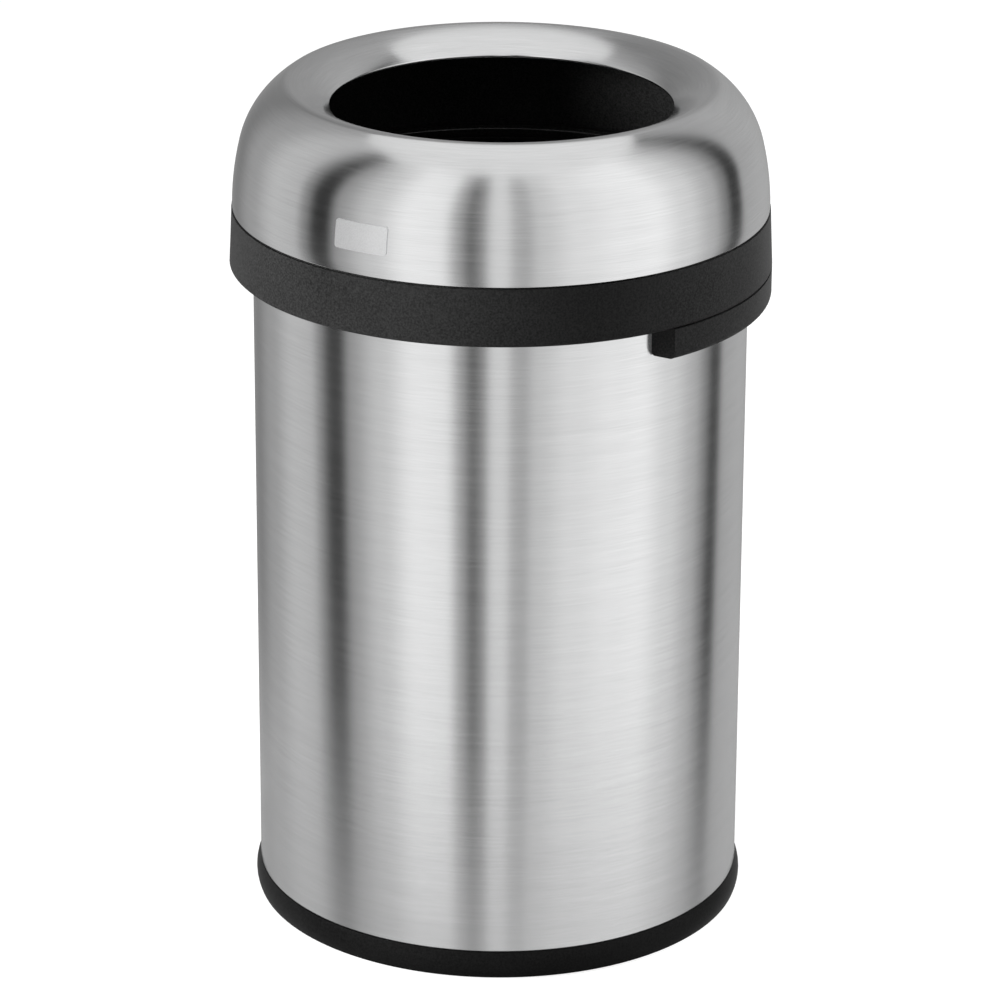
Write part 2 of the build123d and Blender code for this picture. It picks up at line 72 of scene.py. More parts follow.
MM = 0.001
FULL_TURN = 2.0 * math.pi
PHOTO_PIXELS = 1002.0
SENSOR_WIDTH = 36.0
SMALLEST_SQUARE = 1e-8
MERGE_DISTANCE = 1e-6
SEAT_GAP = 0.05


class Brushing(Enum):
    """Which way the grinding marks of a steel sheet run."""

    AROUND = "around"
    ALONG_X = "along_x"
    NONE = "none"


class Drive(Enum):
    """The recess in a fastener's head."""

    CROSS = "cross"
    PLAIN = "plain"


# Shader building


class Sock:
    """A shader value that turns Python arithmetic into Math nodes."""

    def __init__(self, tree: "Tree", socket: bpy.types.NodeSocket) -> None:
        """Keeps the socket and the tree that it is in."""
        self.tree = tree
        self.socket = socket

    def _math(self, operation: str, *others: Any, clamp: bool = False) -> "Sock":
        """Adds one Math node.

        Args:
            operation: the Math node's operation.
            others: the second and third values, numbers or Sock.
            clamp: whether the result is held between 0 and 1.

        Returns:
            The node's result.
        """
        node = self.tree.node(
            "ShaderNodeMath", {"operation": operation, "use_clamp": clamp},
            dict(enumerate((self, *others))),
        )
        return Sock(self.tree, node.outputs[0])

    def __add__(self, other: Any) -> "Sock":
        """Sum."""
        return self._math("ADD", other)

    __radd__ = __add__

    def __sub__(self, other: Any) -> "Sock":
        """Difference."""
        return self._math("SUBTRACT", other)

    def __rsub__(self, other: float) -> "Sock":
        """A number less this value."""
        return self._math("MULTIPLY", -1.0)._math("ADD", other)

    def __mul__(self, other: Any) -> "Sock":
        """Product."""
        return self._math("MULTIPLY", other)

    __rmul__ = __mul__

    def __truediv__(self, other: Any) -> "Sock":
        """Quotient."""
        return self._math("DIVIDE", other)

    def __rtruediv__(self, other: float) -> "Sock":
        """A number divided by this value."""
        return self._math("POWER", -1.0)._math("MULTIPLY", other)

    def root(self) -> "Sock":
        """Square root."""
        return self._math("SQRT")

    def size(self) -> "Sock":
        """Absolute value."""
        return self._math("ABSOLUTE")

    def at_least(self, other: Any) -> "Sock":
        """The larger of the two."""
        return self._math("MAXIMUM", other)

    def angle_from(self, run: "Sock") -> "Sock":
        """Angle of the point (run, this value), in radians."""
        return self._math("ARCTAN2", run)

    def held(self) -> "Sock":
        """This value held between 0 and 1."""
        return self._math("ADD", 0.0, clamp=True)

    def ramp(self, low: float, high: float) -> "Sock":
        """0 at low and 1 at high, smooth between and held outside.

        Args:
            low: where the result is 0.
            high: where the result is 1.

        Returns:
            The smooth step.
        """
        node = self.tree.node(
            "ShaderNodeMapRange", {"interpolation_type": "SMOOTHSTEP", "clamp": True},
            {0: self, 1: low, 2: high, 3: 0.0, 4: 1.0},
        )
        return Sock(self.tree, node.outputs[0])


class Tree:
    """A material's or the world's node tree, emptied for building."""

    def __init__(self, owner: Any) -> None:
        """Empties the tree of a material or world and keeps it."""
        owner.use_nodes = True
        self.tree = owner.node_tree
        self.tree.nodes.clear()

    def node(self, kind: str, settings: dict[str, Any] | None = None,
             inputs: dict[Any, Any] | None = None) -> bpy.types.Node:
        """Adds any node.

        Args:
            kind: the node's type.
            settings: its properties, set first; "stops" fills a colour ramp.
            inputs: socket name or number to a value, a Sock or a socket.

        Returns:
            The node.
        """
        made = self.tree.nodes.new(kind)
        for name, value in (settings or {}).items():
            if name == "stops":
                self._fill_ramp(made.color_ramp, value)
            else:
                setattr(made, name, value)
        for name, value in (inputs or {}).items():
            if isinstance(value, Sock):
                value = value.socket
            if isinstance(value, bpy.types.NodeSocket):
                self.tree.links.new(value, made.inputs[name])
            else:
                made.inputs[name].default_value = value
        return made

    @staticmethod
    def _fill_ramp(ramp: bpy.types.ColorRamp, stops: Sequence[tuple[float, Any]]) -> None:
        """Gives a colour ramp its stops, each a place and a grey or a colour."""
        while len(ramp.elements) > 1:
            ramp.elements.remove(ramp.elements[-1])
        for index, (place, colour) in enumerate(stops):
            element = ramp.elements[0] if index == 0 else ramp.elements.new(place)
            element.position = place
            if isinstance(colour, (int, float)):
                colour = (colour, colour, colour)
            element.color = (*colour, 1.0)

    def sock(self, node: bpy.types.Node, output: Any = 0) -> Sock:
        """One output of a node, for arithmetic."""
        return Sock(self, node.outputs[output])

    def position(self) -> tuple[Sock, Sock, Sock, Sock]:
        """The point on the piece, in metres.

        Returns:
            x, y, z and the distance from the upright axis.
        """
        place = self.node("ShaderNodeTexCoord")
        split = self.node("ShaderNodeSeparateXYZ", inputs={0: place.outputs["Object"]})
        x, y, z = (self.sock(split, index) for index in range(3))
        radius = (x * x + y * y).at_least(SMALLEST_SQUARE).root()
        return x, y, z, radius

    def vector(self, x: Any, y: Any, z: Any) -> bpy.types.NodeSocket:
        """Joins three values into a vector."""
        return self.node("ShaderNodeCombineXYZ", inputs={0: x, 1: y, 2: z}).outputs[0]

    def noise(self, vector: Any, scale: float = 1.0, detail: float = 2.0, roughness: float = 0.5,
              w: Any = None) -> Sock:
        """Noise from 0 to 1.

        Args:
            vector: where it is read.
            scale: its scale.
            detail: its octaves.
            roughness: how strong the finer octaves are.
            w: a fourth coordinate, if any.

        Returns:
            The noise.
        """
        inputs: dict[Any, Any] = {
            "Vector": vector, "Scale": scale, "Detail": detail, "Roughness": roughness,
        }
        settings = {"noise_dimensions": "3D"}
        if w is not None:
            settings = {"noise_dimensions": "4D"}
            inputs["W"] = w
        return self.sock(self.node("ShaderNodeTexNoise", settings, inputs), 0)

    def blend(self, factor: Any, first: Any, second: Any) -> bpy.types.NodeSocket:
        """Mixes two colours through a Mix node."""
        node = self.node("ShaderNodeMix", {"data_type": "RGBA"})
        for index, value in ((0, factor), (6, first), (7, second)):
            if isinstance(value, Sock):
                value = value.socket
            if isinstance(value, bpy.types.NodeSocket):
                self.tree.links.new(value, node.inputs[index])
            elif index:
                node.inputs[index].default_value = (*value, 1.0)
            else:
                node.inputs[index].default_value = value
        return node.outputs[2]

    def bump(self, height: Sock, strength: float, distance: float) -> bpy.types.NodeSocket:
        """Turns a height into a normal."""
        node = self.node(
            "ShaderNodeBump", None,
            {"Strength": strength, "Distance": distance, "Height": height},
        )
        return node.outputs[0]

    def surface(self, shader: bpy.types.Node, kind: str = "ShaderNodeOutputMaterial") -> None:
        """Ends the tree in its output."""
        self.node(kind, inputs={"Surface": shader.outputs[0]})


def grey(value: float, cool: float = 0.0) -> tuple[float, float, float]:
    """A grey, a little cooler where cool is above 0."""
    return value * (1.0 - cool), value, value * (1.0 + cool)


# Finishes


@dataclass(frozen=True)
class BrushedSteel:
    """Ground stainless sheet. The marks are rings about the upright axis, or run along X.

    Attributes:
        name: the material's name.
        tone: its mean reflectance.
        roughness: its mean roughness.
        pull: how far reflections are pulled across the marks, 0 to 1.
        brushing: which way the marks run.
        pitch: the marks' coarse pitch in millimetres.
        seam: whether a welded seam runs up the rear.
        contrast: how far the tone swings either way, as a share of it.
        fine_rate: fine marks in one pitch.
        broad_rate: broad bands in one pitch.
        mark_depth: the marks' bump distance in metres.
    """

    name: str
    tone: float = 0.63
    roughness: float = 0.3
    pull: float = 0.75
    brushing: Brushing = Brushing.AROUND
    pitch: float = 1.6
    seam: bool = False
    contrast: float = 0.13
    fine_rate: float = 2.3
    broad_rate: float = 0.22
    mark_depth: float = 0.00002

    def build(self) -> bpy.types.Material:
        """Makes the material.

        The marks are noise stretched along their run: fast across it (height and radius, or
        height and depth) and slow along it (the direction round the axis, or X).

        Returns:
            The material.
        """
        material = bpy.data.materials.new(self.name)
        tree = Tree(material)
        x, y, z, radius = tree.position()
        rate = 1.0 / (self.pitch * MM)
        fine_step, broad_step = self.fine_rate * rate, self.broad_rate * rate
        if self.brushing is Brushing.AROUND:
            around_x, around_y = x / radius, y / radius
            fine_at = tree.vector(around_x * 5.0, around_y * 5.0, z * fine_step)
            fine = tree.noise(fine_at, detail=3.0, roughness=0.65, w=radius * fine_step)
            broad_at = tree.vector(around_x * 2.2, around_y * 2.2, z * broad_step)
            broad = tree.noise(broad_at, detail=2.0, w=radius * broad_step)
        elif self.brushing is Brushing.ALONG_X:
            fine = tree.noise(tree.vector(x * 60.0, y * rate, z * fine_step), detail=3.0)
            broad = tree.noise(tree.vector(x * 12.0, y * 90.0, z * 90.0), detail=2.0)
        else:
            fine = tree.noise(tree.vector(x, y, z), scale=900.0, detail=3.0)
            broad = tree.noise(tree.vector(x, y, z), scale=45.0, detail=2.0)
        marks = (fine - 0.5) * 2.0
        clouds = (broad - 0.5) * 2.0
        handled = tree.noise(tree.vector(x, y, z), scale=7.0, detail=3.0).ramp(0.42, 0.72)
        rough = marks * 0.06 + clouds * 0.02 + handled * 0.02 + self.roughness
        shade = (marks * 0.5 + clouds * 0.25 + 0.5).held()
        dark = grey(self.tone * (1.0 - self.contrast), 0.004)
        light = grey(min(1.0, self.tone * (1.0 + self.contrast)), 0.004)
        colour = tree.blend(shade, dark, light)
        height = fine
        if self.seam:
            behind = y.ramp(0.0, 0.01)
            line = (1.0 - x.size().ramp(0.0003, 0.0011)) * behind
            rough = rough + line * 0.22
            colour = tree.blend(line * 0.45, colour, grey(self.tone * 0.5))
            height = fine + line * 1.4
        shader = tree.node("ShaderNodeBsdfPrincipled", None, {
            "Base Color": colour, "Metallic": 1.0, "Roughness": rough.held(),
            "Anisotropic": self.pull, "Anisotropic Rotation": 0.25,
            "Normal": tree.bump(height, 0.05, self.mark_depth),
        })
        tree.surface(shader)
        return material


@dataclass(frozen=True)
class MouldedPlastic:
    """Injection-moulded black plastic with a fine spark-eroded grain.

    Attributes:
        name: the material's name.
        tone: its colour as a grey.
        roughness: its mean roughness.
        grain: the grain's scale, in cells per metre.
        depth: the grain's bump strength.
        relief: the grain's bump distance in metres.
    """

    name: str
    tone: float = 0.012
    roughness: float = 0.42
    grain: float = 1400.0
    depth: float = 0.35
    relief: float = 0.00012

    def build(self) -> bpy.types.Material:
        """Makes the material.

        Returns:
            The material.
        """
        material = bpy.data.materials.new(self.name)
        tree = Tree(material)
        x, y, z, _ = tree.position()
        at = tree.vector(x, y, z)
        cells = tree.sock(tree.node(
            "ShaderNodeTexVoronoi", {"feature": "F1"}, {"Vector": at, "Scale": self.grain}), 0)
        fine = tree.noise(at, scale=self.grain * 1.7, detail=2.0)
        broad = tree.noise(at, scale=11.0, detail=3.0)
        height = cells * 0.7 + fine * 0.3
        rough = (fine - 0.5) * 0.1 + (broad - 0.5) * 0.12 + self.roughness
        speckle = tree.noise(at, scale=self.grain * 0.45, detail=3.0)
        mix = ((fine - 0.5) * 0.8 + (speckle - 0.5) * 2.2 + (broad - 0.5) * 0.8 + 0.5).held()
        colour = tree.blend(mix, grey(self.tone * 0.5), grey(self.tone * 1.5))
        shader = tree.node("ShaderNodeBsdfPrincipled", None, {
            "Base Color": colour, "Roughness": rough.held(), "IOR": 1.5, "Specular IOR Level": 0.07,
            "Normal": tree.bump(height, self.depth, self.relief),
        })
        tree.surface(shader)
        return material


@dataclass(frozen=True)
class Rubber:
    """Dull black rubber with a slightly dusty bloom."""

    name: str
    tone: float = 0.02

    def build(self) -> bpy.types.Material:
        """Makes the material."""
        material = bpy.data.materials.new(self.name)
        tree = Tree(material)
        x, y, z, _ = tree.position()
        at = tree.vector(x, y, z)
        dust = tree.noise(at, scale=260.0, detail=4.0)
        colour = tree.blend(dust.ramp(0.4, 0.75), grey(self.tone), grey(self.tone * 2.4))
        shader = tree.node("ShaderNodeBsdfPrincipled", None, {
            "Base Color": colour, "Roughness": (dust * 0.2 + 0.68).held(),
            "Normal": tree.bump(dust, 0.3, 0.0002),
        })
        tree.surface(shader)
        return material


@dataclass(frozen=True)
class ZincSteel:
    """Zinc-coated steel with a faint spangle."""

    name: str
    tone: float = 0.5
    roughness: float = 0.38

    def build(self) -> bpy.types.Material:
        """Makes the material."""
        material = bpy.data.materials.new(self.name)
        tree = Tree(material)
        x, y, z, _ = tree.position()
        at = tree.vector(x, y, z)
        cells = tree.node("ShaderNodeTexVoronoi", {"feature": "F1"}, {"Vector": at, "Scale": 130.0})
        spangle = tree.sock(tree.node("ShaderNodeSeparateColor", None, {0: cells.outputs[1]}), 0)
        fine = tree.noise(at, scale=700.0, detail=3.0)
        colour = tree.blend(spangle, grey(self.tone * 0.86, 0.01), grey(self.tone * 1.12, 0.015))
        shader = tree.node("ShaderNodeBsdfPrincipled", None, {
            "Base Color": colour, "Metallic": 1.0,
            "Roughness": (spangle * 0.12 + fine * 0.08 + self.roughness - 0.1).held(),
            "Normal": tree.bump(fine, 0.08, 0.0001),
        })
        tree.surface(shader)
        return material


# Surfaces


def rounded(corners: Sequence[tuple[float, float, float]], steps: int = 5) -> np.ndarray:
    """Rounds the corners of a closed outline.

    At each corner an arc of the given radius touches both sides. Its centre lies on the
    corner's bisector, radius / sin(half angle) away, and it starts radius / tan(half angle)
    along each side.

    Args:
        corners: (across, up, radius) of each corner, in order.
        steps: points on each arc.

    Returns:
        The outline's points, an array of shape (n, 2).
    """
    points = np.array([c[:2] for c in corners], float)
    before, after = np.roll(points, 1, axis=0), np.roll(points, -1, axis=0)
    out: list[np.ndarray] = []
    for here, last, following, radius in zip(points, before, after, (c[2] for c in corners)):
        if radius <= 0.0:
            out.append(here[None])
            continue
        inward = (last - here) / np.linalg.norm(last - here)
        onward = (following - here) / np.linalg.norm(following - here)
        half = 0.5 * math.acos(float(np.clip(inward @ onward, -1.0, 1.0)))
        reach = radius / math.tan(half)
        bisector = inward + onward
        centre = here + bisector / np.linalg.norm(bisector) * (radius / math.sin(half))
        first = here + inward * reach - centre
        final = here + onward * reach - centre
        start = math.atan2(first[1], first[0])
        turn = math.atan2(final[1], final[0]) - start
        turn = (turn + math.pi) % FULL_TURN - math.pi
        angles = start + turn * np.linspace(0.0, 1.0, steps)
        out.append(centre + radius * np.stack([np.cos(angles), np.sin(angles)], axis=1))
    return np.concatenate(out)


def ring_grid(outline: np.ndarray, around: int) -> tuple[np.ndarray, np.ndarray]:
    """Carries a closed outline once round the upright axis.

    The point at outline place p and angle a is (across(p) cos a, across(p) sin a, up(p)).

    Args:
        outline: (across, up) points, counter-clockwise.
        around: steps round the axis.

    Returns:
        Vertices (n, 3) and four-sided faces (m, 4).
    """
    angles = np.linspace(0.0, FULL_TURN, around, endpoint=False)
    count = len(outline)
    across = outline[:, 0][None, :]
    up = np.broadcast_to(outline[:, 1][None, :], (around, count))
    vertices = np.stack(
        [across * np.cos(angles)[:, None], across * np.sin(angles)[:, None], up], axis=2
    ).reshape(-1, 3)
    step = np.arange(around)[:, None]
    place = np.arange(count)[None, :]
    here = step * count + place
    beside = ((step + 1) % around) * count + place
    here_up = step * count + (place + 1) % count
    beside_up = ((step + 1) % around) * count + (place + 1) % count
    faces = np.stack([here, beside, beside_up, here_up], axis=2).reshape(-1, 4)
    return vertices, faces


def counter_clockwise(outline: np.ndarray) -> np.ndarray:
    """The outline turned so that its signed area, half the sum of cross products, is positive."""
    x, y = outline[:, 0], outline[:, 1]
    area = 0.5 * float(np.sum(x * np.roll(y, -1) - np.roll(x, -1) * y))
    return outline if area > 0.0 else outline[::-1]


def make_piece(name: str, vertices: np.ndarray, faces: Iterable[Sequence[int]],
               sharp: float = 32.0) -> bpy.types.Object:
    """Makes an object from vertices in millimetres.

    Args:
        name: the object's name.
        vertices: (n, 3) points.
        faces: vertex numbers of each face.
        sharp: edges that turn more than this many degrees stay crisp.

    Returns:
        The object, at the origin.
    """
    mesh = bpy.data.meshes.new(name)
    faces = faces.tolist() if isinstance(faces, np.ndarray) else [list(f) for f in faces]
    mesh.from_pydata((np.asarray(vertices, float) * MM).tolist(), [], faces)
    mesh.validate()
    mesh.shade_smooth()
    mesh.set_sharp_from_angle(angle=math.radians(sharp))
    mesh.update()
    made = bpy.data.objects.new(name, mesh)
    bpy.context.scene.collection.objects.link(made)
    return made


def turned(name: str, outline: np.ndarray, around: int = 256) -> bpy.types.Object:
    """A closed outline turned about the upright axis into a ring-shaped piece."""
    vertices, faces = ring_grid(counter_clockwise(outline), around)
    return make_piece(name, vertices, faces)


def turned_disc(name: str, outline: np.ndarray, around: int = 192) -> bpy.types.Object:
    """An outline whose first and last points lie on the axis, turned into a solid of revolution.

    The points off the axis make rings of faces; a fan of triangles closes each pole.

    Args:
        name: the object's name.
        outline: (across, up) points from the lower pole round the outside to the upper pole.
        around: steps round the axis.

    Returns:
        The object.
    """
    rings = outline[1:-1]
    angles = np.linspace(0.0, FULL_TURN, around, endpoint=False)
    grid = np.stack([
        rings[:, 0][:, None] * np.cos(angles),
        rings[:, 0][:, None] * np.sin(angles),
        np.broadcast_to(rings[:, 1][:, None], (len(rings), around)),
    ], axis=2).reshape(-1, 3)
    poles = np.array([[0.0, 0.0, outline[0, 1]], [0.0, 0.0, outline[-1, 1]]])
    vertices = np.concatenate([grid, poles])
    row = np.arange(len(rings) - 1)[:, None] * around
    here = row + np.arange(around)
    beside = row + (np.arange(around) + 1) % around
    quads = np.stack([here, beside, beside + around, here + around], axis=2).reshape(-1, 4)
    low, high = len(grid), len(grid) + 1
    step, onward = np.arange(around), (np.arange(around) + 1) % around
    top = (len(rings) - 1) * around
    under = np.stack([np.full(around, low), onward, step], axis=1)
    over = np.stack([np.full(around, high), top + step, top + onward], axis=1)
    return make_piece(name, vertices, quads.tolist() + under.tolist() + over.tolist())


def frames(positions: np.ndarray, directions: np.ndarray) -> np.ndarray:
    """A 4 x 4 placement for each direction, whose third axis is that direction.

    Args:
        positions: (n, 3) points in millimetres.
        directions: (n, 3) unit vectors.

    Returns:
        (n, 4, 4) matrices.
    """
    upright = np.abs(directions[:, 2:3]) > 0.9
    helper = np.where(upright, np.array([[1.0, 0.0, 0.0]]), np.array([[0.0, 0.0, 1.0]]))
    first = np.cross(helper, directions)
    first /= np.linalg.norm(first, axis=1, keepdims=True)
    second = np.cross(directions, first)
    out = np.zeros((len(positions), 4, 4))
    out[:, :3, 0], out[:, :3, 1], out[:, :3, 2], out[:, :3, 3] = first, second, directions, positions
    out[:, 3, 3] = 1.0
    return out


def round_places(radius: float, height: float, count: int, start: float,
                 span: float = 360.0) -> tuple[np.ndarray, np.ndarray]:
    """Places evenly round the axis.

    Args:
        radius: distance from the axis.
        height: height above the floor.
        count: how many.
        start: first angle in degrees from +X.
        span: the angle they cover; 360 leaves out the repeat of the first.

    Returns:
        The places and the outward directions, both (n, 3).
    """
    closed = abs(span - 360.0) < 1e-6
    angles = np.radians(start + np.linspace(0.0, span, count, endpoint=not closed))
    outward = np.stack([np.cos(angles), np.sin(angles), np.zeros(count)], axis=1)
    places = outward * radius
    places[:, 2] = height
    return places, outward


@dataclass(frozen=True)
class Fastener:
    """A pan-headed screw or rivet. Its head's top faces the +Z of its own frame.

    Attributes:
        shank: shank radius.
        head: head radius.
        rise: head height.
        length: shank length below the head.
        drive: the recess in the head.
        fall: share of the rise that the head loses at its edge.
        arm_side: half the width of a recess arm, in head radii.
        arm_slope: width of the slope at an arm's side, in head radii.
        arm_end: reach of a recess arm, in head radii.
        end_slope: width of the slope at an arm's end, in head radii.
        recess: greatest depth of the recess.
        recess_share: greatest depth of the recess as a share of the rise.
        chamfer: chamfer at the shank's end.
    """

    shank: float
    head: float
    rise: float
    length: float
    drive: Drive = Drive.CROSS
    fall: float = 0.45
    arm_side: float = 0.17
    arm_slope: float = 0.05
    arm_end: float = 0.6
    end_slope: float = 0.06
    recess: float = 1.1
    recess_share: float = 0.7
    chamfer: float = 0.4

    def grid(self, around: int = 32) -> tuple[np.ndarray, np.ndarray]:
        """Points and faces of one fastener.

        The head's height at distance r is rise x (1 - fall (r / head)^3), less a cross-shaped
        recess. The recess is full where the distance across an arm is under arm_side less
        arm_slope, and the distance from the centre is under arm_end less end_slope, all in
        head radii; from there its sides slope up to nothing at arm_side and arm_end.

        Args:
            around: steps round the axis.

        Returns:
            Vertices (n, 3) and faces.
        """
        angles = np.linspace(0.0, FULL_TURN, around, endpoint=False)
        shares = np.array([0.12, 0.22, 0.32, 0.42, 0.5, 0.56, 0.62, 0.74, 0.86, 0.95, 1.0])
        r = (shares * self.head)[:, None] * np.ones(around)
        x, y = r * np.cos(angles), r * np.sin(angles)
        z = self.rise * (1.0 - self.fall * (r / self.head) ** 3)
        if self.drive is Drive.CROSS:
            arm = np.minimum(np.abs(x), np.abs(y)) / self.head
            within_side = np.clip((self.arm_side - arm) / self.arm_slope, 0.0, 1.0)
            within_end = np.clip((self.arm_end - r / self.head) / self.end_slope, 0.0, 1.0)
            z = z - min(self.recess, self.recess_share * self.rise) * within_side * within_end
        top = np.stack([x, y, z], axis=2).reshape(-1, 3)
        lower = []
        for radius, height in ((self.head, 0.0), (self.shank, 0.0),
                               (self.shank, -self.length + self.chamfer),
                               (self.shank - self.chamfer, -self.length)):
            lower.append(np.stack([radius * np.cos(angles), radius * np.sin(angles),
                                   np.full(around, height)], axis=1))
        middle = z[0].mean() if self.drive is Drive.PLAIN else z[0].min()
        poles = np.array([[0.0, 0.0, middle], [0.0, 0.0, -self.length]])
        vertices = np.concatenate([top, *lower, poles])
        rows = len(shares) + len(lower)
        row = np.arange(rows - 1)[:, None] * around
        here = row + np.arange(around)
        beside = row + (np.arange(around) + 1) % around
        quads = np.stack([here, here + around, beside + around, beside], axis=2).reshape(-1, 4)
        step, onward = np.arange(around), (np.arange(around) + 1) % around
        crown = np.stack([np.full(around, rows * around), step, onward], axis=1)
        base = (rows - 1) * around
        foot = np.stack([np.full(around, rows * around + 1), base + onward, base + step], axis=1)
        return vertices, quads.tolist() + crown.tolist() + foot.tolist()

    def place(self, name: str, places: np.ndarray, outward: np.ndarray) -> bpy.types.Object:
        """Copies the fastener to each place, its head towards outward.

        Args:
            name: the object's name.
            places: (n, 3) points under the heads.
            outward: (n, 3) unit vectors.

        Returns:
            One object that holds them all.
        """
        vertices, faces = self.grid()
        matrices = frames(places, outward)
        spots = np.einsum("nij,vj->nvi", matrices[:, :3, :3], vertices) + matrices[:, None, :3, 3]
        joined = [[index + number * len(vertices) for index in face]
                  for number in range(len(places)) for face in faces]
        return make_piece(name, spots.reshape(-1, 3), joined)


# The bin


@dataclass
class Shop:
    """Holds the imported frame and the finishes, and enters finished pieces."""

    frame: dict[str, Any]
    finishes: dict[str, bpy.types.Material]

    def enter(self, piece: bpy.types.Object, body: str, slot: str, finish: str,
              *nodes: str) -> bpy.types.Object:
        """Dresses a new piece, lets it ride on a body and hides the nodes it stands for.

        Args:
            piece: the object.
            body: the body that carries it.
            slot: not used.
            finish: the finish's name.
            nodes: the nodes that it replaces.

        Returns:
            The object.
        """
        piece.data.materials.clear()
        piece.data.materials.append(self.finishes[finish])
        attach(piece, body)
        if nodes:
            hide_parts(*nodes)
        log.info("%s rides on %s, %d vertices", piece.name, body, len(piece.data.vertices))
        return piece

    def dress(self, node: str, finish: str, smooth: float = 30.0) -> bpy.types.Object:
        """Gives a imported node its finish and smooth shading.

        Args:
            node: the node's name.
            finish: the finish's name.
            smooth: edges that turn less than this many degrees are shaded smooth.

        Returns:
            The node's object.
        """
        piece = self.frame["nodes"][node]
        if not piece.material_slots:
            piece.data.materials.append(self.finishes[finish])
        for place in piece.material_slots:
            place.material = self.finishes[finish]
        smoother = piece.modifiers.new("smooth_by_angle", "NODES")
        smoother.node_group = smooth_group(smooth)
        log.info("%s dressed as %s", node, finish)
        return piece


def smooth_group(limit: float) -> bpy.types.NodeTree:
    """A modifier group that merges doubled points and shades smooth below an angle.

    Args:
        limit: the angle in degrees.

    Returns:
        The group, made once for each angle.
    """
    name = f"smooth_{int(limit)}"
    if name in bpy.data.node_groups:
        return bpy.data.node_groups[name]
    group = bpy.data.node_groups.new(name, "GeometryNodeTree")
    group.interface.new_socket("Geometry", in_out="INPUT", socket_type="NodeSocketGeometry")
    group.interface.new_socket("Geometry", in_out="OUTPUT", socket_type="NodeSocketGeometry")
    nodes, links = group.nodes, group.links
    start, end = nodes.new("NodeGroupInput"), nodes.new("NodeGroupOutput")
    merge = nodes.new("GeometryNodeMergeByDistance")
    merge.inputs["Distance"].default_value = MERGE_DISTANCE
    faces = nodes.new("GeometryNodeSetShadeSmooth")
    faces.domain = "FACE"
    edges = nodes.new("GeometryNodeSetShadeSmooth")
    edges.domain = "EDGE"
    angle = nodes.new("GeometryNodeInputMeshEdgeAngle")
    below = nodes.new("FunctionNodeCompare")
    below.data_type = "FLOAT"
    below.operation = "LESS_THAN"
    below.inputs[1].default_value = math.radians(limit)
    links.new(start.outputs[0], merge.inputs["Geometry"])
    links.new(merge.outputs[0], faces.inputs["Geometry"])
    links.new(faces.outputs[0], edges.inputs["Geometry"])
    links.new(angle.outputs[0], below.inputs[0])
    links.new(below.outputs[0], edges.inputs["Shade Smooth"])
    links.new(edges.outputs[0], end.inputs[0])
    return group


@dataclass
class SteelBody:
    """The straight steel tube, its bottom edge turned in."""

    radius: float = 201.0
    wall: float = 0.9
    low: float = 22.9
    high: float = 581.0
    flange: float = 185.0

    def outline(self) -> np.ndarray:
        """Section of the sheet: up the outside, down the inside, out to the flange and back."""
        inner = self.radius - self.wall
        return rounded([
            (self.flange, self.low, 0.0),
            (self.radius, self.low, 1.6),
            (self.radius, self.high, 0.3),
            (inner, self.high, 0.3),
            (inner, self.low + self.wall, 0.7),
            (self.flange, self.low + self.wall, 0.0),
        ], steps=6)

    def build(self, shop: Shop) -> None:
        """Makes the tube."""
        piece = turned("steel_body", self.outline(), 320)
        shop.enter(piece, "bin", "body_steel", "body_steel", "body_shell")


@dataclass
class Rim:
    """The moulded rim on the body's top edge, with the ledge for the bag ring, and its rivets."""

    outside: float = 202.6
    leg_outside: float = 201.1
    leg_inside: float = 199.9
    inside: float = 197.4
    lip: float = 194.5
    top: float = 585.0
    cap: float = 4.0
    ledge: float = 185.0
    ledge_top: float = 574.5
    ledge_wall: float = 2.5
    leg_length: float = 29.0
    apron: float = 10.0
    rivet_height: float = 560.0
    rivet_count: int = 6
    sheet_outside: float = 201.0

    def outline(self) -> np.ndarray:
        """Section of the rim."""
        under = self.top - self.cap
        return rounded([
            (self.lip, under, 0.6),
            (self.inside, under, 0.3),
            (self.inside, self.ledge_top, 0.4),
            (self.ledge, self.ledge_top, 0.8),
            (self.ledge, self.ledge_top - self.ledge_wall, 0.8),
            (self.inside, self.ledge_top - self.ledge_wall, 0.5),
            (self.inside, under - self.leg_length, 0.6),
            (self.leg_inside, under - self.leg_length, 0.6),
            (self.leg_inside, under, 0.0),
            (self.leg_outside, under, 0.0),
            (self.leg_outside, under - self.apron, 0.3),
            (self.outside, under - self.apron, 0.4),
            (self.outside, self.top, 1.2),
            (self.lip, self.top, 1.2),
        ], steps=4)

    def build(self, shop: Shop) -> None:
        """Makes the rim and its rivets."""
        rim = turned("top_rim", self.outline(), 240)
        shop.enter(rim, "bin", "inner_plastic", "rim_plastic", "body_rim")
        places, outward = round_places(self.inside - SEAT_GAP, self.rivet_height, self.rivet_count, 0.0)
        rivet = Fastener(2.0, 3.4, 1.6, 3.65, Drive.PLAIN)
        inner = rivet.place("rim_rivet_heads", places, -outward)
        shop.enter(inner, "bin", "fastener_steel", "zinc", "rim_rivets")
        places, outward = round_places(self.sheet_outside, self.rivet_height, self.rivet_count, 0.0)
        outer = Fastener(2.0, 3.0, 1.2, 0.5, Drive.PLAIN).place("rim_rivet_tails", places, outward)
        shop.enter(outer, "bin", "fastener_steel", "zinc", "rim_rivets")


